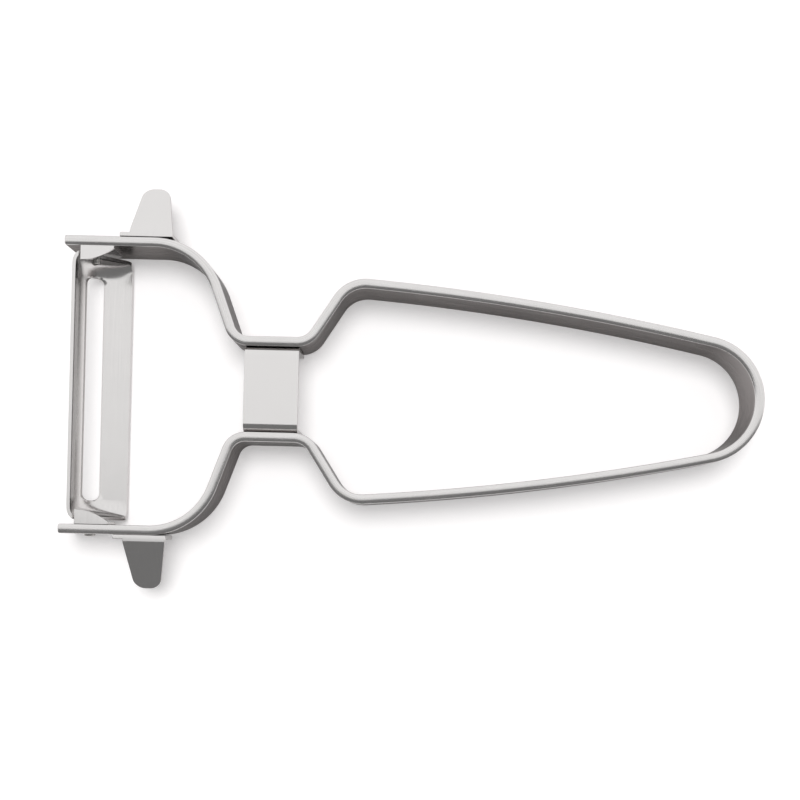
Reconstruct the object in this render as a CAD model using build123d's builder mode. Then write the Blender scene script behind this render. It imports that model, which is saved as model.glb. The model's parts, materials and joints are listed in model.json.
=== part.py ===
from build123d import *
from math import acos, cos, degrees, radians, sin, sqrt
import os

# All-steel Y peeler lying flat. +X runs from the arm tips to the closed end of the handle loop, +Z is up,
# and the origin is under the middle of the overall box. Left is +Y. All lengths are millimetres.

# Strip standing on edge, bent into the handle loop, the neck and the two arms
strip_height = 10.0
strip_thickness = 1.8
strip_edge_round = 0.7
strip_tip_round = 0.35

# Bends of one half of the strip, each radius on the centreline, in order from the arm's tip
arm_length = 16.6
head_bend_radius = 12.5
head_bend_angle = 70
throat_bend_radius = 3.6
neck_length = 9.0
flare_bend_radius = 4.1
flare_bend_angle = 57.5
shoulder_half_width = 20.0
shoulder_bend_radius = 6.3
side_start_angle = 4.25
side_bow_radius = 474.0
end_bend_radius = 11.0

# Folded sheet across the neck
bridge_width = 16.0
bridge_length = 10.1
bridge_height = 9.0
bridge_thickness = 0.8
bridge_bend_radius = 1.3
bridge_set_down = 0.2

# Trough-shaped blade: an arc in section, with its long rims cut square to the sheet, and closed, rounded ends
blade_length = 50.0
blade_width = 12.7
blade_depth = 3.3
blade_thickness = 0.6
blade_end_round = 2.2
blade_end_rise = 0.6
blade_tilt = 45
slot_from_end = 3.7
slot_width = 3.6
slot_corner_round = 1.4
slot_bevel = 0.3

# Pivot pins: they stand off the middle of the blade's width, towards its high rim, and inside its mouth
pivot_from_tip = 4.5
pin_off_middle = 1.0
pin_below_mouth = 1.0
pin_radius = 0.7
pin_head_radius = 1.05
pin_head_height = 0.5
pin_head_round = 0.3
pin_end_reach = 0.9
pin_end_chamfer = 0.2
pin_fit_clearance = 0.02
pin_running_clearance = 0.05

# Clips that stop the swivel
clip_from_tip = 6.1
clip_width = 6.2
clip_thickness = 0.5
clip_reach = 2.7
clip_bend_radius = 0.5
clip_set_down = 0.2
blade_end_play = 0.35

# Tapered sheet tongues on the outside of the arms
ear_from_tip = 15.1
ear_thickness = 0.8
ear_leg_width = 9.8
ear_leg_height = 7.0
ear_leg_round = 1.5
ear_bend_radius = 0.9
ear_set_down = 0.1
tongue_base_width = 8.0
tongue_tip_width = 5.2
tongue_reach = 9.3
tongue_tip_round = 2.3
tongue_slope = 24

# Cuts run this far past the faces that they go through
overrun = 2.0

# Places that follow from the sizes
slot_length = blade_length - 2 * slot_from_end
arm_inner_half = blade_length / 2 + blade_end_play + clip_thickness
arm_half = arm_inner_half + strip_thickness / 2
arm_outer_half = arm_inner_half + strip_thickness
neck_half = bridge_width / 2 + strip_thickness / 2
pivot_z = strip_height / 2

head_turn = radians(head_bend_angle)
head_drop = (head_bend_radius + throat_bend_radius) * (1 - cos(head_turn))
head_run = (arm_half - neck_half - head_drop) / sin(head_turn)
flare_turn = radians(flare_bend_angle)
flare_rise = (flare_bend_radius + shoulder_bend_radius) * (1 - cos(flare_turn))
flare_run = (shoulder_half_width - neck_half - flare_rise) / sin(flare_turn)
side_start = radians(side_start_angle)
side_start_half = shoulder_half_width - shoulder_bend_radius * (1 - cos(side_start))
side_end = acos((side_bow_radius * cos(side_start) - side_start_half) / (side_bow_radius - end_bend_radius))

neck_start = arm_length + (head_bend_radius + throat_bend_radius) * sin(head_turn) + head_run * cos(head_turn)
neck_end = neck_start + neck_length
side_from = neck_end + (flare_bend_radius + shoulder_bend_radius) * sin(flare_turn)
side_from = side_from + flare_run * cos(flare_turn) + shoulder_bend_radius * sin(side_start)
loop_end = side_from + side_bow_radius * (sin(side_end) - sin(side_start))
loop_end = loop_end + end_bend_radius * (1 - sin(side_end)) + strip_thickness / 2
tip_x = -loop_end / 2
pivot_x = tip_x + pivot_from_tip
neck_x = tip_x + neck_start + neck_length / 2
clip_x = tip_x + clip_from_tip
ear_x = tip_x + ear_from_tip

# Frame strip: half of the centreline, its mirror image, and one rounded section along the whole of it
with BuildLine(Plane.XY.offset(strip_height / 2)) as strip_path:
    arm = Line((tip_x, arm_half), (tip_x + arm_length, arm_half))
    head = JernArc(arm @ 1, arm % 1, head_bend_radius, -head_bend_angle)
    throat_line = PolarLine(head @ 1, head_run, direction=head % 1)
    throat = JernArc(throat_line @ 1, head % 1, throat_bend_radius, head_bend_angle)
    neck = PolarLine(throat @ 1, neck_length, direction=throat % 1)
    flare = JernArc(neck @ 1, neck % 1, flare_bend_radius, flare_bend_angle)
    flare_line = PolarLine(flare @ 1, flare_run, direction=flare % 1)
    shoulder = JernArc(flare_line @ 1, flare % 1, shoulder_bend_radius, -flare_bend_angle - side_start_angle)
    side = JernArc(shoulder @ 1, shoulder % 1, side_bow_radius, side_start_angle - degrees(side_end))
    end = JernArc(side @ 1, side % 1, end_bend_radius, degrees(side_end) - 90)
    mirror(about=Plane.XZ)

with BuildPart() as frame_strip:
    with BuildSketch(Plane(origin=strip_path.wire() @ 0, x_dir=(0, 1, 0), z_dir=strip_path.wire() % 0)):
        RectangleRounded(strip_thickness, strip_height, strip_edge_round)
    sweep(path=strip_path.wire())
    tips = frame_strip.faces().filter_by(Axis.X).group_by(Axis.X)[0]
    fillet(tips.edges(), radius=strip_tip_round)
    with BuildSketch(Plane(origin=(pivot_x, 0, pivot_z), z_dir=(0, 1, 0))):
        Circle(pin_radius + pin_fit_clearance)
    extrude(amount=arm_outer_half + overrun, both=True, mode=Mode.SUBTRACT)

# Neck bridge: an upside-down channel between the two strips
bridge_wall = bridge_width / 2 - bridge_thickness / 2
bridge_web = strip_height - bridge_set_down - bridge_thickness / 2
bridge_foot = strip_height - bridge_set_down - bridge_height
with BuildPart() as neck_bridge:
    with BuildLine(Plane.YZ.offset(neck_x)) as bridge_path:
        FilletPolyline(
            (-bridge_wall, bridge_foot),
            (-bridge_wall, bridge_web),
            (bridge_wall, bridge_web),
            (bridge_wall, bridge_foot),
            radius=bridge_bend_radius - bridge_thickness / 2,
        )
    with BuildSketch(Plane(origin=bridge_path.wire() @ 0, x_dir=(1, 0, 0), z_dir=(0, 0, 1))):
        Rectangle(bridge_length, bridge_thickness)
    sweep(path=bridge_path.wire())

# Eye remover: a leg flat on the arm, folded over at the top into a tongue that slopes outward and down. The
# tongue is flush with the leg on the side of the neck.
ear_leg_y = arm_outer_half + ear_thickness / 2
ear_fold_z = strip_height - ear_set_down - ear_thickness / 2 - ear_bend_radius
ear_foot_z = strip_height - ear_set_down - ear_leg_height
tongue_x = ear_x + (ear_leg_width - tongue_base_width) / 2
tongue_from = arm_outer_half + ear_thickness
with BuildPart() as eye_remover_left:
    with BuildLine(Plane.YZ.offset(ear_x)) as ear_path:
        leg = Line((ear_leg_y, ear_foot_z), (ear_leg_y, ear_fold_z))
        fold = JernArc(leg @ 1, leg % 1, ear_bend_radius, -90 - tongue_slope)
        PolarLine(fold @ 1, 2 * tongue_reach, direction=fold % 1)
    with BuildSketch(Plane(origin=ear_path.wire() @ 0, x_dir=(1, 0, 0), z_dir=(0, 0, 1))):
        Rectangle(ear_leg_width, ear_thickness)
    sweep(path=ear_path.wire())
    fillet(eye_remover_left.edges().filter_by(Axis.Y), radius=ear_leg_round)
    with BuildSketch():
        with BuildLine():
            Polyline(
                (ear_x - ear_leg_width / 2, arm_outer_half),
                (ear_x - ear_leg_width / 2, tongue_from),
                (tongue_x - tongue_base_width / 2, tongue_from),
                (tongue_x - tongue_tip_width / 2, tongue_from + tongue_reach),
                (tongue_x + tongue_tip_width / 2, tongue_from + tongue_reach),
                (ear_x + ear_leg_width / 2, tongue_from),
                (ear_x + ear_leg_width / 2, arm_outer_half),
                close=True,
            )
        outline = make_face()
        fillet(outline.vertices().group_by(Axis.Y)[-1], radius=tongue_tip_round)
    extrude(amount=strip_height, mode=Mode.INTERSECT)

with BuildPart() as eye_remover_right:
    mirror(eye_remover_left.part, about=Plane.XZ)

# Blade: a trough with rounded, closed ends, turned about the line of the pins
across_blade = Vector(1, 0, 0).rotate(Axis.Y, blade_tilt)
out_of_mouth = Vector(0, 0, 1).rotate(Axis.Y, blade_tilt)
pin_middle = Vector(pivot_x, 0, pivot_z)
mouth_middle = pin_middle + across_blade * pin_off_middle + out_of_mouth * pin_below_mouth
pin_plane = Plane(origin=pin_middle, x_dir=across_blade, z_dir=(0, -1, 0))
blade_plane = Plane(origin=mouth_middle, x_dir=across_blade, z_dir=(0, -1, 0))
mouth_axis = Axis(mouth_middle, out_of_mouth)
blade_radius = (blade_width**2 / 4 + blade_depth**2) / (2 * blade_depth)
arc_middle = blade_radius - blade_depth
blank_half = sqrt(blade_radius**2 - (arc_middle - blade_end_rise) ** 2)
past_rim_share = 1 + overrun / blade_radius
with BuildPart() as blade:
    with BuildSketch(blade_plane):
        with BuildLine():
            ThreePointArc((-blank_half, blade_end_rise), (0, -blade_depth), (blank_half, blade_end_rise))
            Line((blank_half, blade_end_rise), (-blank_half, blade_end_rise))
        make_face()
    extrude(amount=blade_length / 2, both=True)
    fillet(blade.edges().filter_by(GeomType.CIRCLE), radius=blade_end_round)
    offset(amount=-blade_thickness, openings=blade.faces().sort_by(mouth_axis)[-1])
    with BuildSketch(blade_plane):
        with BuildLine():
            Polyline(
                (0, arc_middle),
                (past_rim_share * blade_width / 2, (1 - past_rim_share) * arc_middle),
                (past_rim_share * blade_width / 2, arc_middle + overrun),
                (-past_rim_share * blade_width / 2, arc_middle + overrun),
                (-past_rim_share * blade_width / 2, (1 - past_rim_share) * arc_middle),
                close=True,
            )
        make_face()
    extrude(amount=blade_length / 2 + overrun, both=True, mode=Mode.SUBTRACT)
    with BuildSketch(Plane(origin=mouth_middle, x_dir=(0, 1, 0), z_dir=out_of_mouth)):
        RectangleRounded(slot_length, slot_width, slot_corner_round)
    extrude(amount=-blade_depth - overrun, mode=Mode.SUBTRACT)
    long_edges = blade.edges().filter_by(Axis.Y)
    chamfer(long_edges.group_by(mouth_axis)[1], length=slot_bevel)
    with BuildSketch(pin_plane):
        Circle(pin_radius + pin_running_clearance)
    extrude(amount=blade_length / 2 + overrun, both=True, mode=Mode.SUBTRACT)

# Stop clip: one leg flat on the inside of the arm, the other folded inward over the end of the blade
clip_leg_y = arm_inner_half - clip_thickness / 2
clip_top = strip_height - clip_set_down
with BuildPart() as stop_clip_left:
    with BuildLine(Plane.YZ.offset(clip_x)) as clip_path:
        FilletPolyline(
            (clip_leg_y, pivot_z - clip_width / 2),
            (clip_leg_y, clip_top - clip_thickness / 2),
            (arm_inner_half - clip_reach, clip_top - clip_thickness / 2),
            radius=clip_bend_radius,
        )
    with BuildSketch(Plane(origin=clip_path.wire() @ 0, x_dir=(1, 0, 0), z_dir=(0, 0, 1))):
        Rectangle(clip_width, clip_thickness)
    sweep(path=clip_path.wire())
    with BuildSketch():
        with BuildLine():
            corner = (clip_x - clip_width / 2, arm_inner_half - clip_reach)
            taper_end = (clip_x + clip_width / 2, arm_inner_half - clip_thickness)
            TangentArc(corner, taper_end, tangent=(1, 0))
            Polyline(
                taper_end,
                (clip_x + clip_width / 2, arm_inner_half),
                (clip_x - clip_width / 2, arm_inner_half),
                corner,
            )
        make_face()
    extrude(amount=strip_height, mode=Mode.INTERSECT)
    with BuildSketch(Plane(origin=(clip_x, 0, pivot_z), x_dir=(1, 0, 0), z_dir=(0, -1, 0))):
        Circle(clip_width / 2)
        Rectangle(clip_width, strip_height, align=(Align.CENTER, Align.MIN))
        with Locations((pivot_x - clip_x, 0)):
            Circle(pin_radius + pin_fit_clearance, mode=Mode.SUBTRACT)
    extrude(amount=-arm_outer_half, mode=Mode.INTERSECT)

with BuildPart() as stop_clip_right:
    mirror(stop_clip_left.part, about=Plane.XZ)

# Pivot pin: a low head outside the arm and a shank through the arm, the clip and the blade's end wall
pin_length = strip_thickness + clip_thickness + blade_end_play + blade_thickness + pin_end_reach
pin_seat = Plane(origin=(pivot_x, arm_outer_half, pivot_z), z_dir=(0, 1, 0))
with BuildPart() as pivot_pin_left:
    with BuildSketch(pin_seat):
        Circle(pin_head_radius)
    extrude(amount=pin_head_height)
    fillet(pivot_pin_left.edges().group_by(Axis.Y)[-1], radius=pin_head_round)
    with BuildSketch(pin_seat):
        Circle(pin_radius)
    extrude(amount=-pin_length)
    chamfer(pivot_pin_left.edges().group_by(Axis.Y)[0], length=pin_end_chamfer)

with BuildPart() as pivot_pin_right:
    mirror(pivot_pin_left.part, about=Plane.XZ)

os.makedirs("parts", exist_ok=True)
frame_strip.part.label = "frame_strip"
export_step(frame_strip.part, "parts/frame_strip.step")
neck_bridge.part.label = "neck_bridge"
export_step(neck_bridge.part, "parts/neck_bridge.step")
eye_remover_left.part.label = "eye_remover_left"
export_step(eye_remover_left.part, "parts/eye_remover_left.step")
eye_remover_right.part.label = "eye_remover_right"
export_step(eye_remover_right.part, "parts/eye_remover_right.step")
blade.part.label = "blade"
export_step(blade.part, "parts/blade.step")
stop_clip_left.part.label = "stop_clip_left"
export_step(stop_clip_left.part, "parts/stop_clip_left.step")
stop_clip_right.part.label = "stop_clip_right"
export_step(stop_clip_right.part, "parts/stop_clip_right.step")
pivot_pin_left.part.label = "pivot_pin_left"
export_step(pivot_pin_left.part, "parts/pivot_pin_left.step")
pivot_pin_right.part.label = "pivot_pin_right"
export_step(pivot_pin_right.part, "parts/pivot_pin_right.step")
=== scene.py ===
"""Steel Y peeler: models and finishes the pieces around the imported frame.

Run as a script, it models each piece with Blender's own tools, gives it its steel, and sets up a pale studio.
"""

import json
from math import acos, atan2, cos, pi, radians, sin, tan

import bmesh
import bpy
from bpy.props import FloatProperty, FloatVectorProperty, PointerProperty
from mathutils import Matrix, Vector


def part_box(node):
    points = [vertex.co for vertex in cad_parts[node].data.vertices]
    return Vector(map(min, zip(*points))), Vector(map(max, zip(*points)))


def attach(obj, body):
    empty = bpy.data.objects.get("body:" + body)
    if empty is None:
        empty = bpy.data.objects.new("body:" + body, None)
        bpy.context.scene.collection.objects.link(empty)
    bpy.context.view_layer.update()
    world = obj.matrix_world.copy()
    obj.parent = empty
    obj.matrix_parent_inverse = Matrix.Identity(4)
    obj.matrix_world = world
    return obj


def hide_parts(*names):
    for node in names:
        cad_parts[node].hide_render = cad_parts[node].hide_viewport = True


bl_info = {
    "name": "Steel Y Peeler",
    "version": (1, 0, 0),
    "blender": (4, 5, 0),
    "location": "3D View > Sidebar > Peeler",
    "description": "Models a steel Y peeler piece by piece: strip, folded sheets, blade and pins",
    "category": "Object",
}

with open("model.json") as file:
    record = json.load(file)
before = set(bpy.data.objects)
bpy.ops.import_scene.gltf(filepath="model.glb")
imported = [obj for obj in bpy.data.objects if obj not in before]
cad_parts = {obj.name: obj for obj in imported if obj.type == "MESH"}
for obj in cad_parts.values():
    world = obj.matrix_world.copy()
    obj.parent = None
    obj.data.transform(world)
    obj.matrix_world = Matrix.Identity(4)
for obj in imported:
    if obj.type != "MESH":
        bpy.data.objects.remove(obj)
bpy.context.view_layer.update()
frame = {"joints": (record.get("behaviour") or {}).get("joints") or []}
STRIP_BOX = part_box("frame_strip")
BRIDGE_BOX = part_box("neck_bridge")
EAR_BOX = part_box("eye_remover_left")
CLIP_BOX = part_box("stop_clip_left")
PIN_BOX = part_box("pivot_pin_left")
PIVOT = Vector(frame["joints"][0]["pos_m"])

# Lengths that belong to the modelling and not to the peeler, in metres.
OVERRUN = 0.002  # how far a cutting tool reaches past what it cuts
TINY = 1e-6  # what counts as the same place
SEAM = 1e-5  # what closes where the strip's two halves meet
HAIR = 3e-5  # the shortest edge that is kept on a trimmed sheet

# Facets round the pins and their holes, the blade's trough and the tool that trims the clips.
PIN_SIDES = 48
TROUGH_SIDES = 180
TRIM_SIDES = 300

# A bend of the strip has at least this many steps, and more where one would turn or reach further than this.
FEWEST_STEPS = 6
STEP_TURN = radians(2.5)
STEP_REACH = 0.004

# Each end of the blade closes in this many rings, which turn by this many degrees in all.
END_RINGS = 16
END_TURN = 80

SMOOTH_ANGLE = radians(35)  # a sharper edge than this is shaded as a corner
SENSOR_WIDTH = 36.0  # of the camera, in Blender's millimetres


def linear(code):
    """Turns an sRGB hex code into Blender's linear colour."""
    levels = [int(code[i : i + 2], 16) / 255 for i in (1, 3, 5)]
    return tuple(v / 12.92 if v <= 0.04045 else ((v + 0.055) / 1.055) ** 2.4 for v in levels)


def length(name, description, default):
    """One length that a user may change, in metres."""
    return FloatProperty(name=name, description=description, default=default, min=0.0, unit="LENGTH", precision=5)


def turn(name, description, degrees):
    """One angle that a user may change."""
    return FloatProperty(name=name, description=description, default=radians(degrees), subtype="ANGLE")


def shade(name, description, code):
    """One colour that a user may change."""
    return FloatVectorProperty(
        name=name, description=description, default=linear(code), size=3, subtype="COLOR", min=0.0, max=1.0
    )


class StripSizes(bpy.types.PropertyGroup):
    """Sizes of the strip that is bent into the handle, the neck and the arms."""

    height: length("Height", "Width of the strip, which stands on edge", STRIP_BOX[1].z - STRIP_BOX[0].z)
    thickness: length("Thickness", "Thickness of the strip", 0.0018)
    crown_width: length("Crown width", "Width of each half of an edge's rolled crown", 0.00085)
    crown_height: length("Crown height", "Height of an edge's rolled crown", 0.00036)
    # The strip is painted brighter near its edges than on its broad faces: partly wear on the edges, partly painted
    # shade on the faces.
    rubbed: length("Rubbed", "How far from its edges the strip is rubbed bright", 0.0003)
    wear_and_shade_fade: length("Rubbed fade", "How far from its edges the last of it is gone", 0.0006)
    tip_round: length("Tip round", "Radius worn on the cut ends", 0.00035)
    arm: length("Arm", "Straight part of each arm", 0.0166)
    head_radius: length("Head bend", "Radius of the bend behind the arm", 0.0125)
    head_angle: turn("Head angle", "Turn of the bend behind the arm", 70)
    throat_radius: length("Throat bend", "Radius of the bend into the neck", 0.0036)
    neck: length("Neck", "Straight part at the neck", 0.009)
    flare_radius: length("Flare bend", "Radius of the bend out of the neck", 0.0041)
    flare_angle: turn("Flare angle", "Turn of the bend out of the neck", 57.5)
    shoulder_half_width: length("Shoulder", "Half of the handle's greatest width", 0.02)
    shoulder_radius: length("Shoulder bend", "Radius of the handle's shoulder", 0.0063)
    side_angle: turn("Side angle", "Slope at which the handle's side starts", 4.25)
    side_radius: length("Side bow", "Radius of the handle's long side", 0.474)
    end_radius: length("End bend", "Radius of the handle's closed end", 0.011)


class SheetSizes(bpy.types.PropertyGroup):
    """Sizes of the folded sheets: the neck bridge, the eye removers and the stop clips."""

    gauge: length("Sheet", "Thickness of the bridge and the eye removers", 0.0008)
    bridge_bend: length("Bridge bend", "Outer radius of the bridge's two folds", 0.0016)
    cut_edge: length("Cut edge", "Width of the rubbed corner along each cut edge", 0.0001)
    clip_cut_edge: length("Clip cut edge", "Width of the rubbed corner along the clips' edges", 0.00006)
    ear_level: length("Ear level", "Level part between the arm and the tongue's slope", 0.0007)
    ear_bend: length("Ear bend", "Radius at which the tongue bends down, at the middle of the sheet", 0.001)
    ear_leg_height: length("Ear leg", "Height of the leg that lies on the arm", 0.007)
    ear_leg_round: length("Ear leg round", "Radius of the leg's lower corners", 0.0015)
    tongue_base: length("Tongue base", "Width of the tongue at the fold", 0.008)
    tongue_tip: length("Tongue tip", "Width of the tongue before its end is rounded", 0.0047)
    tongue_round: length("Tongue round", "Radius of the tongue's end corners", 0.0023)
    tongue_slope: turn("Tongue slope", "How far the tongue points down", 24)
    clip_gauge: length("Clip sheet", "Thickness of the stop clips", 0.0005)


class BladeSizes(bpy.types.PropertyGroup):
    """Sizes of the slotted blade."""

    length: length("Length", "Length between the outsides of the two ends", 0.05)
    width: length("Width", "Width across the trough's mouth", 0.0127)
    depth: length("Depth", "Depth of the trough", 0.0033)
    gauge: length("Sheet", "Thickness of the blade", 0.0006)
    end_run: length("End run", "Length over which the trough rises to each closed end", 0.0040)
    end_corner: length("End corner", "Length over which the rims draw in at each end", 0.0020)
    end_draw: length("End draw", "How far the rims draw in at each end", 0.0018)
    tilt: turn("Tilt", "Turn about the pins at rest", 45)
    end_rise: length("End rise", "Height of the closed ends over the mouth", 0.0006)
    pin_off_middle: length("Pin off middle", "How far the pins are from the middle of the width", 0.001)
    pin_below_mouth: length("Pin below mouth", "How far the pins are below the mouth", 0.001)
    slot_from_end: length("Slot from end", "Distance from each end to the slot", 0.0037)
    slot_width: length("Slot width", "Width of the slot", 0.0036)
    slot_corner: length("Slot corner", "Radius of the slot's corners", 0.0014)
    slot_bevel: length("Slot bevel", "Width of the ground bevel round the slot", 0.0003)
    bore: length("Bore", "Radius of the hole for each pin", 0.00075)
    rim_round: length("Rim round", "Width of the rubbed corner along the rim", 0.00007)


class PinSizes(bpy.types.PropertyGroup):
    """Sizes of the pivot pins."""

    radius: length("Radius", "Radius of the shank", 0.0007)
    head_radius: length("Head radius", "Radius of the low head", (PIN_BOX[1].z - PIN_BOX[0].z) / 2)
    head_height: length("Head height", "Height of the low head", 0.0005)
    head_round: length("Head round", "Radius round the head's top", 0.0003)
    end_chamfer: length("End chamfer", "Chamfer on the shank's end", 0.0002)
    hole: length("Hole", "Radius of the pins' holes in the arms and the clips", 0.00072)


class SteelColours(bpy.types.PropertyGroup):
    """Colours of the steels and the floor."""

    # The strip's face colour is darker than its edge colour: partly the edges' wear, partly painted shade on the
    # broad faces.
    strip_face_with_painted_shade: shade("Strip face", "Broad rolled faces of the strip", "#BDB9B8")
    strip_edge: shade("Strip edge", "Rubbed edges of the strip", "#E1DFDE")
    sheet: shade("Sheet", "Folded sheets", "#E1DFDE")
    blade: shade("Blade", "Hardened blade", "#DFDDDC")
    pin: shade("Pin", "Turned pins", "#C9C7C4")
    floor: shade("Floor", "Plain pale floor", "#F5F3F3")


class StudioSizes(bpy.types.PropertyGroup):
    """Places and levels of the camera and the lights."""

    camera_height: length("Camera height", "Height of the camera over the top edges", 0.19)
    camera_across: FloatProperty(name="Camera across", description="Camera's place along X", default=0.00082)
    camera_along: FloatProperty(name="Camera along", description="Camera's place along Y", default=-0.02567)
    camera_turn: turn("Camera turn", "Turn of the camera about the vertical", 1.415)
    view_width: length("View width", "Width of the view at the top edges", 0.148)
    shift_x: FloatProperty(name="Shift X", description="Sideways shift of the lens", default=-0.0175)
    shift_y: FloatProperty(name="Shift Y", description="Upward shift of the lens", default=0.164)
    clip_start: length("Clip start", "Where the camera's view begins", 0.01)
    floor_width: length("Floor width", "Width of the floor", 6.0)
    tent_level: FloatProperty(name="Tent level", description="Brightness of the white tent's cloth", default=1.0)
    panel_level: FloatProperty(name="Panel level", description="Brightness of the dark panel", default=0.2)
    panel_start: FloatProperty(name="Panel start", description="Direction's Y where the panel starts", default=-0.015)
    panel_full: FloatProperty(name="Panel full", description="Direction's Y where it is all dark", default=-0.09)
    panel_foot: FloatProperty(name="Panel foot", description="Direction's Z over which its foot fades", default=0.02)
    room_level: FloatProperty(name="Room level", description="Share of the even light from all round", default=0.45)
    key_level: FloatProperty(name="Key level", description="Share of the light from the soft key", default=0.55)
    key_spread: turn("Key spread", "Angle that the key light fills, which softens the shadow", 34)
    key_lean: turn("Key lean", "Lean of the key light towards +Y", 13)
    floor_lift: FloatProperty(name="Floor lift", description="What lifts the floor to white", default=0.2)


def deselect():
    """Leaves edit mode and selects nothing."""
    if bpy.context.object and bpy.context.object.mode != "OBJECT":
        bpy.ops.object.mode_set(mode="OBJECT")
    bpy.ops.object.select_all(action="DESELECT")


def only(piece):
    """Makes one piece the only one selected, in object mode."""
    deselect()
    piece.select_set(True)
    bpy.context.view_layer.objects.active = piece


def started(name, size=None):
    """Names the primitive that was just added and puts its place and size into its mesh."""
    piece = bpy.context.object
    piece.name = name
    piece.data.name = name
    if size:
        piece.scale = size
    bpy.ops.object.transform_apply(location=True, rotation=True, scale=True)
    return piece


def edit(piece):
    """Opens one piece in edit mode with everything selected."""
    only(piece)
    bpy.ops.object.mode_set(mode="EDIT")
    bpy.ops.mesh.select_all(action="SELECT")


def choose(piece, kind, test):
    """In edit mode, selects just the vertices, edges or faces that pass a test."""
    bpy.ops.mesh.select_mode(type=kind)
    bpy.ops.mesh.select_all(action="DESELECT")
    shape = bmesh.from_edit_mesh(piece.data)
    parts = {"VERT": shape.verts, "EDGE": shape.edges, "FACE": shape.faces}[kind]
    found = [part for part in parts if test(part)]
    if not found:
        raise RuntimeError(f"nothing to select on {piece.name}")
    for part in found:
        part.select_set(True)
    shape.select_flush_mode()
    bmesh.update_edit_mesh(piece.data)


def middle(edge):
    """Middle of an edge."""
    return (edge.verts[0].co + edge.verts[1].co) / 2


def both(edge, test):
    """True where both ends of an edge pass a test of their place."""
    return all(test(v.co) for v in edge.verts)


def near(a, b):
    """True for two lengths that are the same apart from rounding."""
    return abs(a - b) < TINY


def extrude(step):
    """Extrudes what is selected by one step, and leaves its new end selected."""
    bpy.ops.mesh.extrude_region_move(TRANSFORM_OT_translate={"value": step})


def slice_at(place, normal, **options):
    """Cuts what is selected along a plane. Blender's own tolerance is a tenth of a millimetre, too coarse here."""
    bpy.ops.mesh.bisect(plane_co=place, plane_no=normal, threshold=TINY / 10, **options)


def modify(piece, kind, **settings):
    """Adds a modifier with its settings and applies it."""
    only(piece)
    modifier = piece.modifiers.new(kind.title(), kind)
    for name, value in settings.items():
        setattr(modifier, name, value)
    bpy.ops.object.modifier_apply(modifier=modifier.name)


def cut(piece, cutter, operation="DIFFERENCE"):
    """Cuts a piece by another one, or keeps what the two share, and removes the other one."""
    modify(piece, "BOOLEAN", operation=operation, object=cutter, solver="EXACT")
    only(cutter)
    bpy.ops.object.delete()


def rub_corners(piece, width, angle, **options):
    """Rounds each corner of a piece that is sharper than the angle, as tumbling does."""
    modify(piece, "BEVEL", width=width, segments=2, limit_method="ANGLE", angle_limit=radians(angle), **options)


def drill(piece, radius, reach):
    """Drills the pins' hole along Y, as far as it reaches to both sides."""
    deselect()
    bpy.ops.mesh.primitive_cylinder_add(
        vertices=PIN_SIDES, radius=radius, depth=2 * reach, location=PIVOT, rotation=(pi / 2, 0, 0)
    )
    cut(piece, started("drill"))


def tidy_faces(piece, gap=TINY):
    """Merges vertices that are closer than the gap and turns all faces outwards."""
    edit(piece)
    bpy.ops.mesh.remove_doubles(threshold=gap)
    bpy.ops.mesh.normals_make_consistent(inside=False)
    deselect()


def twin(piece, name):
    """Copies a left piece to the right arm, as its mirror image with a mesh of its own."""
    only(piece)
    bpy.ops.object.duplicate(linked=False)
    bpy.context.object.scale = (1, -1, 1)
    copy = started(name)
    tidy_faces(copy)
    return copy


def start_leg(name, box, leg_y, top_z, foot_z):
    """Stands the leg of a folded sheet at its arm and opens it in edit mode."""
    low, high = box
    deselect()
    bpy.ops.mesh.primitive_plane_add(
        size=1, location=((low.x + high.x) / 2, leg_y, (top_z + foot_z) / 2), rotation=(-pi / 2, 0, 0)
    )
    sheet = started(name, (high.x - low.x, top_z - foot_z, 1))
    edit(sheet)
    return sheet


def dress(piece, look, body, node):
    """Smooths a finished piece, gives it its steel and lets it stand for its CAD node."""
    only(piece)
    bpy.ops.object.shade_smooth_by_angle(angle=SMOOTH_ANGLE, keep_sharp_edges=False)
    modify(piece, "WEIGHTED_NORMAL", keep_sharp=True, weight=60)
    piece.data.materials.clear()
    piece.data.materials.append(look)
    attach(piece, body)
    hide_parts(node)


def add_node(tree, kind, inputs, **settings):
    """Adds a node, sets its options and gives each input a value or a link."""
    node = tree.nodes.new(kind)
    for name, value in settings.items():
        setattr(node, name, value)
    for socket, value in inputs.items():
        if isinstance(value, bpy.types.NodeSocket):
            tree.links.new(value, node.inputs[socket])
        else:
            node.inputs[socket].default_value = value
    return node


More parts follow.
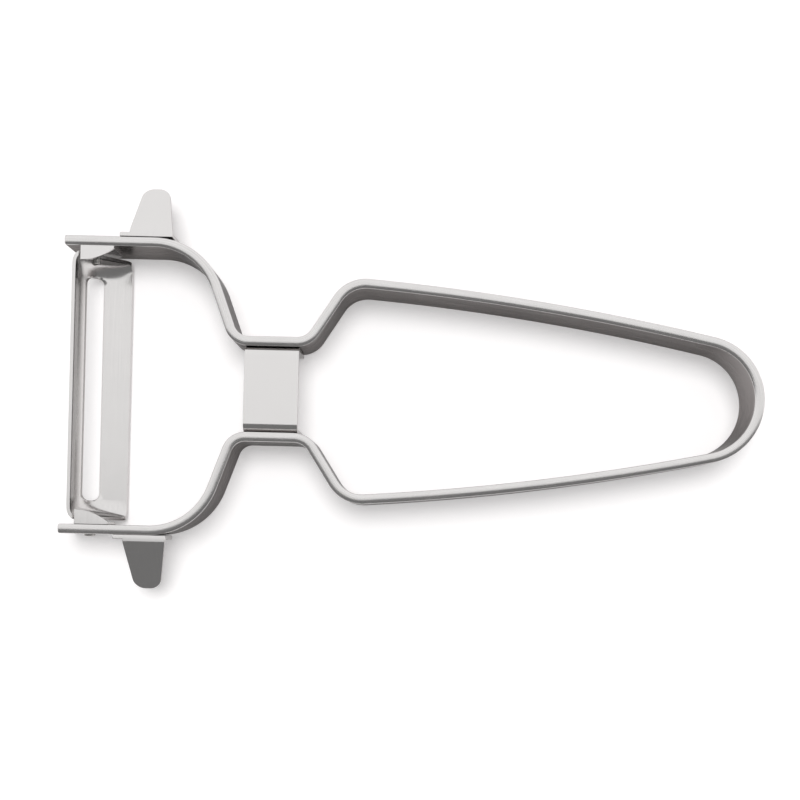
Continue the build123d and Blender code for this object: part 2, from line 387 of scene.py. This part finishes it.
def steel(
    name, colour, grain, smooth, rough, low_angle, bump=0.000002, mottle=0.06, place=None, edge_colour=None
):
    """Makes one steel: fine lines of the grain's size in metres, faint patches and a matching gloss."""
    material = bpy.data.materials.new(name)
    material.use_nodes = True
    tree = material.node_tree
    shader = tree.nodes["Principled BSDF"]
    if place is None:
        place = add_node(tree, "ShaderNodeTexCoord", {}).outputs["Object"]
    else:
        place = add_node(tree, "ShaderNodeAttribute", {}, attribute_name=place).outputs["Vector"]
    scale = tuple(1 / size for size in grain)
    along = add_node(tree, "ShaderNodeMapping", {"Vector": place, "Scale": scale})
    lines = add_node(
        tree, "ShaderNodeTexNoise", {"Vector": along.outputs[0], "Scale": 1.0, "Detail": 3.0, "Roughness": 0.6}
    )
    # The patches are about 4.5 mm across, which is 220 to the metre.
    patches = add_node(tree, "ShaderNodeTexNoise", {"Vector": place, "Scale": 220.0, "Detail": 2.0})
    # Noise seldom leaves the range from 0.3 to 0.7, so that is what the tones and the gloss are spread over.
    spread = {"From Min": 0.3, "From Max": 0.7}
    tone = add_node(
        tree, "ShaderNodeMapRange", {"Value": lines.outputs[0], **spread, "To Min": 1 - mottle, "To Max": 1 + mottle}
    )
    patch_tone = add_node(
        tree, "ShaderNodeMapRange", {"Value": patches.outputs[0], **spread, "To Min": 1 - mottle / 2, "To Max": 1.0}
    )
    both_tones = add_node(
        tree, "ShaderNodeMath", {0: tone.outputs[0], 1: patch_tone.outputs[0]}, operation="MULTIPLY"
    )
    base = tuple(colour)
    # Near the edges the colour turns to the brighter edge colour: partly wear, partly painted shade on the darker
    # faces.
    if edge_colour is not None:
        ends = {"Factor": edge_wear_and_face_shade(tree, place), "A": base + (1,), "B": tuple(edge_colour) + (1,)}
        base = add_node(tree, "ShaderNodeMix", ends, data_type="RGBA").outputs["Result"]
    toned = add_node(tree, "ShaderNodeVectorMath", {0: base, "Scale": both_tones.outputs[0]}, operation="SCALE")
    tree.links.new(toned.outputs[0], shader.inputs["Base Color"])
    gloss = add_node(
        tree, "ShaderNodeMapRange", {"Value": lines.outputs[0], **spread, "To Min": smooth, "To Max": rough}
    )
    tree.links.new(gloss.outputs[0], shader.inputs["Roughness"])
    relief = add_node(tree, "ShaderNodeBump", {"Height": lines.outputs[0], "Strength": 0.6, "Distance": bump})
    tree.links.new(relief.outputs[0], shader.inputs["Normal"])
    shader.inputs["Metallic"].default_value = 1.0
    # A rough steel face mirrors less than a polished one at a low angle, and the tint is what dims it there.
    shader.inputs["Specular Tint"].default_value = (low_angle, low_angle, low_angle, 1)
    return material


def edge_wear_and_face_shade(tree, place):
    """Mask for the strip: 1 on the rolled edges, 0 on the broad faces, read from the height on the strip. The faces'
    darker colour is partly painted shade, the edges' brighter one partly wear.
    """
    sizes = bpy.context.scene.peeler_strip
    half = sizes.height / 2
    parts = add_node(tree, "ShaderNodeSeparateXYZ", {0: place})
    off = add_node(tree, "ShaderNodeMath", {0: parts.outputs[2], 1: half}, operation="SUBTRACT")
    away = add_node(tree, "ShaderNodeMath", {0: off.outputs[0]}, operation="ABSOLUTE")
    mask = add_node(
        tree,
        "ShaderNodeMapRange",
        {"Value": away.outputs[0], "From Min": half - sizes.wear_and_shade_fade, "From Max": half - sizes.rubbed},
        interpolation_type="SMOOTHSTEP",
    )
    return mask.outputs[0]


def strip_runs(sizes):
    """The strip's straight runs and bends as (run, radius, angle), from the arm's tip to the closed end's middle."""
    neck_half = BRIDGE_BOX[1].y + sizes.thickness / 2
    head_drop = (sizes.head_radius + sizes.throat_radius) * (1 - cos(sizes.head_angle))
    head_run = (STRIP_BOX[1].y - sizes.thickness / 2 - neck_half - head_drop) / sin(sizes.head_angle)
    flare_rise = (sizes.flare_radius + sizes.shoulder_radius) * (1 - cos(sizes.flare_angle))
    flare_run = (sizes.shoulder_half_width - neck_half - flare_rise) / sin(sizes.flare_angle)
    start_half = sizes.shoulder_half_width - sizes.shoulder_radius * (1 - cos(sizes.side_angle))
    side_end = acos(
        (sizes.side_radius * cos(sizes.side_angle) - start_half) / (sizes.side_radius - sizes.end_radius)
    )
    return [
        (sizes.arm, 0, 0),
        (0, sizes.head_radius, -sizes.head_angle),
        (head_run, 0, 0),
        (0, sizes.throat_radius, sizes.head_angle),
        (sizes.neck, 0, 0),
        (0, sizes.flare_radius, sizes.flare_angle),
        (flare_run, 0, 0),
        (0, sizes.shoulder_radius, -sizes.flare_angle - sizes.side_angle),
        (0, sizes.side_radius, sizes.side_angle - side_end),
        (0, sizes.end_radius, side_end - pi / 2),
    ]


def unbend(place, stations):
    """Length along the strip before it was bent, and distance from its middle, of one place on it."""
    level = Vector((place.x, abs(place.y), 0))
    best = None
    for start, heading, run, centre, radius, angle, before in stations:
        if radius:
            way = -1 if angle > 0 else 1
            spoke = level - centre
            turned = way * (start - centre).xy.angle_signed(spoke.xy, 0.0)
            along = max(0.0, min(abs(angle), turned)) * radius
            off = way * (spoke.length - radius)
            miss = abs(turned * radius - along) + abs(off)
        else:
            reach = (level - start).dot(heading)
            along = max(0.0, min(run, reach))
            off = (level - start).dot(Vector((-heading.y, heading.x, 0)))
            miss = abs(reach - along) + abs(off)
        if best is None or miss < best[0]:
            best = (miss, before + along, off)
    return best[1], best[2]


class PEELER_OT_bend_strip(bpy.types.Operator):
    """Draws out the strip and bends it into the arms, the neck and the handle"""

    bl_idname = "peeler.bend_strip"
    bl_label = "Bend strip"

    def execute(self, context):
        sizes = context.scene.peeler_strip
        colours = context.scene.peeler_colours
        start = Vector((STRIP_BOX[0].x, STRIP_BOX[1].y - sizes.thickness / 2, sizes.height / 2))
        deselect()
        bpy.ops.mesh.primitive_plane_add(size=1, location=start, rotation=(0, pi / 2, 0))
        # The section's crowns are first rounded as half circles and then pressed flatter, so it starts taller.
        spare = 2 * (sizes.crown_width - sizes.crown_height)
        strip = started("bent_strip", (sizes.height + spare, sizes.thickness, 1))
        edit(strip)
        bpy.ops.mesh.bevel(offset=sizes.crown_width, segments=10, affect="VERTICES")
        crown_foot = (sizes.height + spare) / 2 - sizes.crown_width
        for side in (-1, 1):
            choose(strip, "VERT", lambda v: side * (v.co.z - start.z) > crown_foot - TINY)
            bpy.ops.transform.resize(
                value=(1, 1, sizes.crown_height / sizes.crown_width),
                center_override=(start.x, start.y, start.z + side * crown_foot),
            )
        bpy.ops.mesh.select_mode(type="FACE")
        bpy.ops.mesh.select_all(action="SELECT")
        place, heading, before, stations = start.copy(), Vector((1, 0, 0)), 0.0, []
        for run, radius, angle in strip_runs(sizes):
            side = Vector((-heading.y, heading.x, 0)) * (1 if angle > 0 else -1)
            centre = place + side * radius
            level_place, level_heading, level_centre = (Vector((v.x, v.y, 0)) for v in (place, heading, centre))
            stations.append((level_place, level_heading, run, level_centre, radius, angle, before))
            if radius:
                steps = max(FEWEST_STEPS, int(abs(angle) / STEP_TURN), int(abs(angle) * radius / STEP_REACH))
                bpy.ops.mesh.spin(steps=steps, angle=-angle, center=centre, axis=(0, 0, 1))
                swing = Matrix.Rotation(angle, 3, "Z")
                place = centre + swing @ (place - centre)
                heading = swing @ heading
                before += abs(angle) * radius
            else:
                extrude(heading * run)
                place = place + heading * run
                before += run
            shape = bmesh.from_edit_mesh(strip.data)
            ends = [v.co for v in shape.verts if v.select]
            reached = sum(ends, Vector()) / len(ends)
            if (reached - place).length > SEAM:
                raise RuntimeError(f"the strip is at {reached} and not at {place}")
        bpy.ops.mesh.delete(type="ONLY_FACE")
        choose(strip, "EDGE", lambda e: both(e, lambda p: near(p.x, start.x)))
        bpy.ops.mesh.bevel(offset=sizes.tip_round, segments=3, affect="EDGES")
        deselect()
        modify(strip, "MIRROR", use_axis=(False, True, False), use_clip=True, merge_threshold=SEAM)
        tidy_faces(strip)
        drill(strip, context.scene.peeler_pins.hole, STRIP_BOX[1].y + OVERRUN)
        whole = 2 * before
        mark = strip.data.attributes.new("unbent", "FLOAT_VECTOR", "POINT")
        for vertex, value in zip(strip.data.vertices, mark.data):
            along, off = unbend(vertex.co, stations)
            value.vector = (whole - along if vertex.co.y < 0 else along, off, vertex.co.z)
        # Stainless strip, cold rolled and tumbled, with fine lines along the strip. Its broad faces are painted a
        # duller grey
        # than its edges: partly the wear of tumbling on the edges, partly painted shade on the faces. The lines are
        # drawn
        # 0.25 mm apart, coarser than rolling leaves them, so that they show.
        look = steel(
            "tumbled_stainless_strip_with_painted_face_shade",
            colours.strip_face_with_painted_shade,
            grain=(0.012, 0.00025, 0.00025),
            smooth=0.2,
            rough=0.3,
            low_angle=0.2,
            place="unbent",
            edge_colour=colours.strip_edge,
        )
        dress(strip, look, "frame", "frame_strip")
        return {"FINISHED"}


def sheet_steel():
    """Steel of the folded sheets, made once."""
    # Stainless sheet, bright rolled: an even pale satin with hair-fine lines along the rolling direction.
    # The lines are drawn 0.3 mm apart, coarser than they are, so that they show.
    name = "bright_rolled_stainless_sheet"
    return bpy.data.materials.get(name) or steel(
        name,
        bpy.context.scene.peeler_colours.sheet,
        grain=(0.0003, 0.008, 0.008),
        smooth=0.16,
        rough=0.22,
        low_angle=0.6,
        bump=0.0000004,
        mottle=0.012,
    )


class PEELER_OT_fold_bridge(bpy.types.Operator):
    """Folds the channel that ties the strip together at the neck"""

    bl_idname = "peeler.fold_bridge"
    bl_label = "Fold neck bridge"

    def execute(self, context):
        sizes = context.scene.peeler_sheets
        low, high = BRIDGE_BOX
        deselect()
        bpy.ops.mesh.primitive_cube_add(size=1, location=(low + high) / 2)
        bridge = started("neck_channel", high - low)
        edit(bridge)
        choose(bridge, "FACE", lambda f: f.normal.z < -0.5 or abs(f.normal.x) > 0.5)
        bpy.ops.mesh.delete(type="FACE")
        choose(bridge, "EDGE", lambda e: both(e, lambda p: near(p.z, high.z)) and near(abs(middle(e).y), high.y))
        bpy.ops.mesh.bevel(offset=sizes.bridge_bend, segments=9, affect="EDGES")
        deselect()
        modify(bridge, "SOLIDIFY", thickness=sizes.gauge, offset=-1, use_even_offset=True)
        rub_corners(bridge, sizes.cut_edge, angle=40)
        tidy_faces(bridge)
        dress(bridge, sheet_steel(), "frame", "neck_bridge")
        return {"FINISHED"}


class PEELER_OT_fold_ears(bpy.types.Operator):
    """Folds and trims the two eye removers"""

    bl_idname = "peeler.fold_ears"
    bl_label = "Fold eye removers"

    def execute(self, context):
        sizes = context.scene.peeler_sheets
        low, high = EAR_BOX
        leg_y = low.y + sizes.gauge / 2
        fold_z = high.z - sizes.gauge / 2
        foot_z = high.z - sizes.ear_leg_height
        ear = start_leg("ear_left", EAR_BOX, leg_y, fold_z, foot_z)
        choose(ear, "VERT", lambda v: near(v.co.z, foot_z))
        bpy.ops.mesh.bevel(offset=sizes.ear_leg_round, segments=6, affect="VERTICES")
        choose(ear, "EDGE", lambda e: both(e, lambda p: near(p.z, fold_z)))
        extrude((0, sizes.ear_level, 0))
        bend = (high.x, leg_y + sizes.ear_level, fold_z - sizes.ear_bend)
        bpy.ops.mesh.spin(steps=5, angle=sizes.tongue_slope, center=bend, axis=(1, 0, 0))
        out = Vector((0, cos(sizes.tongue_slope), -sin(sizes.tongue_slope)))
        shape = bmesh.from_edit_mesh(ear.data)
        fold_y = sum(v.co.y for v in shape.verts if v.select) / 2
        end_y = high.y - sizes.gauge / 2 * sin(sizes.tongue_slope)
        extrude(out * ((end_y - fold_y) / out.y))

        # The tongue's two sides taper, and they start at the leg's outer face.
        shoulder = low.y + sizes.gauge
        tongue_x = high.x - sizes.tongue_base / 2
        taper = atan2((sizes.tongue_base - sizes.tongue_tip) / 2, high.y - shoulder)
        bpy.ops.mesh.select_all(action="SELECT")
        slice_at((0, shoulder, 0), (0, 1, 0))

        def on_tongue(face):
            return face.calc_center_median().y > shoulder

        for side in (-1, 1):
            choose(ear, "FACE", on_tongue)
            near_end = Vector((tongue_x + side * sizes.tongue_base / 2, shoulder, 0))
            far_end = Vector((tongue_x + side * sizes.tongue_tip / 2, high.y, 0))
            edge_line = far_end - near_end
            outward = Vector((edge_line.y, -edge_line.x, 0)) * side
            slice_at(near_end, outward)
            choose(ear, "FACE", lambda f: on_tongue(f) and (f.calc_center_median() - near_end).dot(outward) > 0)
            bpy.ops.mesh.delete(type="FACE")
        choose(ear, "VERT", lambda v: near(v.co.y, end_y))
        corner = sizes.tongue_round / tan((pi / 2 + taper) / 2)
        bpy.ops.mesh.bevel(offset=corner, segments=10, affect="VERTICES")
        tidy_faces(ear, HAIR)
        modify(ear, "SOLIDIFY", thickness=sizes.gauge, offset=0, use_even_offset=True)
        tidy_faces(ear, HAIR)
        rub_corners(ear, sizes.cut_edge, angle=40, use_clamp_overlap=False)
        tidy_faces(ear)
        right = twin(ear, "ear_right")
        look = sheet_steel()
        dress(ear, look, "frame", "eye_remover_left")
        dress(right, look, "frame", "eye_remover_right")
        return {"FINISHED"}


class PEELER_OT_fold_clips(bpy.types.Operator):
    """Folds the two clips that stop the blade's swivel"""

    bl_idname = "peeler.fold_clips"
    bl_label = "Fold stop clips"

    def execute(self, context):
        sizes = context.scene.peeler_sheets
        low, high = CLIP_BOX
        width = high.x - low.x
        leg_y = high.y - sizes.clip_gauge / 2
        fold_z = high.z - sizes.clip_gauge / 2
        clip = start_leg("clip_left", CLIP_BOX, leg_y, fold_z, low.z)
        choose(clip, "VERT", lambda v: near(v.co.z, low.z))
        bpy.ops.mesh.bevel(offset=width / 2 - TINY, segments=14, affect="VERTICES")
        choose(clip, "EDGE", lambda e: both(e, lambda p: near(p.z, fold_z)))
        extrude((0, low.y - leg_y, 0))
        deselect()
        modify(clip, "SOLIDIFY", thickness=sizes.clip_gauge, offset=0, use_even_offset=True)
        # The flap is trimmed along an arc that starts square to the clip's side and ends at the leg's far corner.
        depth = high.y - sizes.clip_gauge - low.y
        trim = (width**2 + depth**2) / (2 * depth)
        bpy.ops.mesh.primitive_cylinder_add(
            vertices=TRIM_SIDES,
            radius=trim,
            depth=1,
            location=(low.x, low.y + trim, 0),
            rotation=(0, 0, pi / TRIM_SIDES),
        )
        cut(clip, started("trim"), "INTERSECT")
        tidy_faces(clip, HAIR)
        rub_corners(clip, sizes.clip_cut_edge, angle=50)
        drill(clip, context.scene.peeler_pins.hole, high.y + OVERRUN)
        right = twin(clip, "clip_right")
        look = sheet_steel()
        dress(clip, look, "frame", "stop_clip_left")
        dress(right, look, "frame", "stop_clip_right")
        return {"FINISHED"}


class PEELER_OT_press_blade(bpy.types.Operator):
    """Presses the trough-shaped blade, trims its rims and grinds its slot"""

    bl_idname = "peeler.press_blade"
    bl_label = "Press blade"

    def execute(self, context):
        sizes = context.scene.peeler_blade
        half = sizes.width / 2
        radius = (half**2 + sizes.depth**2) / (2 * sizes.depth)
        arc_middle = radius - sizes.depth
        deselect()
        bpy.ops.mesh.primitive_cylinder_add(
            vertices=TROUGH_SIDES,
            radius=radius,
            depth=sizes.length - 2 * sizes.end_run,
            location=(0, arc_middle, 0),
        )
        blade = started("slotted_blade")
        edit(blade)
        for side in (-1, 1):
            self.draw_end(blade, sizes, side)
        bpy.ops.mesh.select_all(action="SELECT")
        slice_at((0, sizes.end_rise + 2 * sizes.gauge, 0), (0, 1, 0), clear_outer=True)
        deselect()
        modify(blade, "SOLIDIFY", thickness=sizes.gauge, offset=-1, use_even_offset=True)
        edit(blade)
        slice_at((0, sizes.end_rise, 0), (0, 1, 0), clear_outer=True)
        choose(blade, "EDGE", lambda e: e.is_boundary)
        bpy.ops.mesh.bridge_edge_loops()
        for side in (-1, 1):
            bpy.ops.mesh.select_all(action="SELECT")
            slice_at((0, arc_middle, 0), (side * arc_middle, half, 0), clear_outer=True, use_fill=True)
        deselect()
        tidy_faces(blade)
        rub_corners(blade, sizes.rim_round, angle=50)
        self.grind_slot(blade, sizes, radius)
        across = Vector((cos(sizes.tilt), 0, -sin(sizes.tilt)))
        up = Vector((sin(sizes.tilt), 0, cos(sizes.tilt)))
        mouth_middle = PIVOT + across * sizes.pin_off_middle + up * sizes.pin_below_mouth
        seat = Matrix((across, up, Vector((0, -1, 0)))).transposed().to_4x4()
        only(blade)
        blade.matrix_world = Matrix.Translation(mouth_middle) @ seat
        bpy.ops.object.transform_apply(location=True, rotation=True, scale=True)
        drill(blade, sizes.bore, sizes.length)
        tidy_faces(blade)
        # Hardened blade steel, rolled bright and ground: the palest and smoothest of the steels, with hair
        # lines along the blade. They are drawn 0.2 mm apart, coarser than they are, so that they show.
        look = steel(
            "hardened_ground_blade_steel",
            context.scene.peeler_colours.blade,
            grain=(0.0002, 0.01, 0.0002),
            smooth=0.16,
            rough=0.26,
            low_angle=0.35,
            bump=0.0000015,
            mottle=0.04,
        )
        dress(blade, look, "blade", "blade")
        return {"FINISHED"}

    def draw_end(self, blade, sizes, side):
        """Closes one end of the trough: ring after ring, its floor rises to the end and its rims draw in."""
        choose(blade, "FACE", lambda f: f.normal.z * side > 0.9)
        reached, deep, wide = sizes.end_run, 1.0, 1.0
        for ring in range(1, END_RINGS + 1):
            angle = radians(END_TURN * ring / END_RINGS)
            away = sizes.end_run * (1 - sin(angle) / sin(radians(END_TURN)))
            new_deep = cos(angle)
            inside = max(0.0, 1 - away / sizes.end_corner)
            new_wide = 1 - 2 * sizes.end_draw / sizes.width * (1 - (1 - inside**2) ** 0.5)
            extrude((0, 0, side * (reached - away)))
            bpy.ops.transform.resize(
                value=(new_wide / wide, new_deep / deep, 1), center_override=(0, sizes.end_rise, 0)
            )
            reached, deep, wide = away, new_deep, new_wide

    def grind_slot(self, blade, sizes, radius):
        """Cuts the slot and the bevel round its inner edge with one flared tool."""
        inner = radius - sizes.gauge
        half = sizes.slot_width / 2
        half_length = sizes.length / 2 - sizes.slot_from_end
        floor_y = radius - sizes.depth - (inner**2 - half**2) ** 0.5
        flare_y = floor_y - sizes.slot_bevel
        deselect()
        bpy.ops.mesh.primitive_cube_add(size=1, location=(0, flare_y - OVERRUN / 4, 0))
        tool = started("slot_tool", (sizes.slot_width, OVERRUN / 2, 2 * half_length))
        edit(tool)
        choose(tool, "EDGE", lambda e: near(abs(middle(e).x), half) and near(abs(middle(e).z), half_length))
        bpy.ops.mesh.bevel(offset=sizes.slot_corner, segments=12, affect="EDGES")
        # The tool flares at 45 degrees, to three times the bevel's width, so that it clears the curved sheet.
        grow = 3 * sizes.slot_bevel
        choose(tool, "FACE", lambda f: f.normal.y > 0.9)
        extrude((0, grow, 0))
        bpy.ops.transform.resize(value=(1 + grow / half, 1, 1 + grow / half_length), center_override=(0, flare_y, 0))
        tidy_faces(tool)
        cut(blade, tool)


class PEELER_OT_turn_pins(bpy.types.Operator):
    """Turns the two headed pivot pins"""

    bl_idname = "peeler.turn_pins"
    bl_label = "Turn pivot pins"

    def execute(self, context):
        sizes = context.scene.peeler_pins
        low, high = PIN_BOX
        seat = high.y - sizes.head_height
        deselect()
        bpy.ops.mesh.primitive_cylinder_add(
            vertices=PIN_SIDES,
            radius=sizes.radius,
            depth=seat - low.y,
            location=(PIVOT.x, (seat + low.y) / 2, PIVOT.z),
            rotation=(pi / 2, 0, 0),
        )
        pin = started("pin_left")
        edit(pin)
        choose(pin, "EDGE", lambda e: both(e, lambda p: near(p.y, low.y)))
        bpy.ops.mesh.bevel(offset=sizes.end_chamfer, segments=2, affect="EDGES")
        choose(pin, "FACE", lambda f: f.normal.y > 0.9)
        extrude((0, 0, 0))
        ratio = sizes.head_radius / sizes.radius
        bpy.ops.transform.resize(value=(ratio, 1, ratio), center_override=(PIVOT.x, seat, PIVOT.z))
        extrude((0, sizes.head_height, 0))
        choose(pin, "EDGE", lambda e: both(e, lambda p: near(p.y, high.y)))
        bpy.ops.mesh.bevel(offset=sizes.head_round, segments=5, affect="EDGES")
        deselect()
        tidy_faces(pin)
        right = twin(pin, "pin_right")
        # Free-cutting stainless rod, turned: a slightly darker steel with fine rings round the pin's axis. They
        # are drawn 0.1 mm apart, coarser than they are, so that they show.
        look = steel(
            "turned_stainless_pin",
            context.scene.peeler_colours.pin,
            grain=(0.0012, 0.0001, 0.0012),
            smooth=0.22,
            rough=0.34,
            low_angle=0.5,
            mottle=0.05,
        )
        dress(pin, look, "frame", "pivot_pin_left")
        dress(right, look, "frame", "pivot_pin_right")
        return {"FINISHED"}


def add_key(studio):
    """Adds the wide, soft key light from overhead. The steel mirrors the tent and not the lamp."""
    deselect()
    bpy.ops.object.light_add(type="SUN", location=(0, 0, 1), rotation=(-studio.key_lean, 0, 0))
    lamp = bpy.context.object
    lamp.name = "key"
    lamp.data.angle = studio.key_spread
    lamp.data.energy = studio.key_level * pi / cos(studio.key_lean)
    lamp.visible_camera = False
    lamp.visible_glossy = False


def looked_at(tree):
    """Mask of the rays that look: 1 for the camera's rays and for those that metal or glass sends on."""
    path = add_node(tree, "ShaderNodeLightPath", {})
    mask = path.outputs["Is Camera Ray"]
    for kind in ("Is Glossy Ray", "Is Transmission Ray"):
        mask = add_node(tree, "ShaderNodeMath", {0: mask, 1: path.outputs[kind]}, operation="MAXIMUM").outputs[0]
    return mask


class PEELER_OT_set_stage(bpy.types.Operator):
    """Sets the pale floor, the soft lights and the camera"""

    bl_idname = "peeler.set_stage"
    bl_label = "Set stage"

    def execute(self, context):
        studio = context.scene.peeler_studio
        scene = context.scene
        deselect()
        bpy.ops.mesh.primitive_plane_add(size=studio.floor_width, location=(0, 0, 0))
        floor = started("floor")
        # Matt white paper: it renders as its own colour in the light, and keeps the object's soft shadow.
        paper = bpy.data.materials.new("matt_white_paper")
        paper.use_nodes = True
        tree = paper.node_tree
        shader = tree.nodes["Principled BSDF"]
        shader.inputs["Base Color"].default_value = tuple(scene.peeler_colours.floor) + (1,)
        shader.inputs["Roughness"].default_value = 1.0
        shader.inputs["Specular IOR Level"].default_value = 0.0
        lift = add_node(tree, "ShaderNodeMath", {0: looked_at(tree), 1: studio.floor_lift}, operation="MULTIPLY")
        shader.inputs["Emission Color"].default_value = (1, 1, 1, 1)
        tree.links.new(lift.outputs[0], shader.inputs["Emission Strength"])
        floor.data.materials.append(paper)

        # A white tent with one dark panel, which reaches from overhead down to the horizon on the -Y side. Only
        # the steel mirrors the panel, and what faces it turns grey, as in the photograph. The camera itself sees
        # plain white all round.
        world = bpy.data.worlds.new("white_tent")
        scene.world = world
        world.use_nodes = True
        sky = world.node_tree
        toward = add_node(sky, "ShaderNodeTexCoord", {})
        parts = add_node(sky, "ShaderNodeSeparateXYZ", {0: toward.outputs["Generated"]})
        sideways = add_node(
            sky,
            "ShaderNodeMapRange",
            {"Value": parts.outputs["Y"], "From Min": studio.panel_start, "From Max": studio.panel_full},
            interpolation_type="SMOOTHSTEP",
        )
        upwards = add_node(
            sky,
            "ShaderNodeMapRange",
            {"Value": parts.outputs["Z"], "From Min": -studio.panel_foot, "From Max": studio.panel_foot},
            interpolation_type="SMOOTHSTEP",
        )
        panel = add_node(sky, "ShaderNodeMath", {0: sideways.outputs[0], 1: upwards.outputs[0]}, operation="MULTIPLY")
        cloth = add_node(
            sky,
            "ShaderNodeMapRange",
            {"Value": panel.outputs[0], "To Min": studio.tent_level, "To Max": studio.panel_level},
        )
        mirrored = add_node(
            sky,
            "ShaderNodeMapRange",
            {"Value": looked_at(sky), "To Min": studio.room_level, "To Max": cloth.outputs[0]},
        )
        path = add_node(sky, "ShaderNodeLightPath", {})
        level = add_node(
            sky,
            "ShaderNodeMapRange",
            {"Value": path.outputs["Is Camera Ray"], "To Min": mirrored.outputs[0], "To Max": 1.0},
        )
        background = sky.nodes["Background"]
        background.inputs["Color"].default_value = (1, 1, 1, 1)
        sky.links.new(level.outputs[0], background.inputs["Strength"])

        add_key(studio)

        deselect()
        place = (studio.camera_across, studio.camera_along, STRIP_BOX[1].z + studio.camera_height)
        bpy.ops.object.camera_add(location=place, rotation=(0, 0, studio.camera_turn))
        camera = bpy.context.object
        camera.name = "camera"
        camera.data.sensor_width = SENSOR_WIDTH
        camera.data.lens = SENSOR_WIDTH * studio.camera_height / studio.view_width
        camera.data.shift_x = studio.shift_x
        camera.data.shift_y = studio.shift_y
        camera.data.clip_start = studio.clip_start
        scene.camera = camera
        scene.view_settings.view_transform = "Standard"
        return {"FINISHED"}


OPERATORS = (
    PEELER_OT_set_stage,
    PEELER_OT_bend_strip,
    PEELER_OT_fold_bridge,
    PEELER_OT_fold_ears,
    PEELER_OT_fold_clips,
    PEELER_OT_press_blade,
    PEELER_OT_turn_pins,
)


class PEELER_PT_panel(bpy.types.Panel):
    """Lists the peeler's sizes, colours and steps"""

    bl_idname = "PEELER_PT_panel"
    bl_label = "Steel Y Peeler"
    bl_space_type = "VIEW_3D"
    bl_region_type = "UI"
    bl_category = "Peeler"

    def draw(self, context):
        for name in GROUPS:
            box = self.layout.box()
            group = getattr(context.scene, name)
            for prop in type(group).__annotations__:
                box.prop(group, prop)
        for operator in OPERATORS:
            self.layout.operator(operator.bl_idname)


GROUPS = {
    "peeler_strip": StripSizes,
    "peeler_sheets": SheetSizes,
    "peeler_blade": BladeSizes,
    "peeler_pins": PinSizes,
    "peeler_colours": SteelColours,
    "peeler_studio": StudioSizes,
}


def register():
    """Registers the sizes, the steps and the panel."""
    for name, group in GROUPS.items():
        bpy.utils.register_class(group)
        setattr(bpy.types.Scene, name, PointerProperty(type=group))
    for operator in OPERATORS:
        bpy.utils.register_class(operator)
    bpy.utils.register_class(PEELER_PT_panel)


def unregister():
    """Takes away what register adds."""
    bpy.utils.unregister_class(PEELER_PT_panel)
    for operator in reversed(OPERATORS):
        bpy.utils.unregister_class(operator)
    for name, group in reversed(GROUPS.items()):
        delattr(bpy.types.Scene, name)
        bpy.utils.unregister_class(group)


def main():
    """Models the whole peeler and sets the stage."""
    register()
    for operator in OPERATORS:
        section, name = operator.bl_idname.split(".")
        getattr(getattr(bpy.ops, section), name)()
    deselect()


if __name__ == "__main__":
    main()
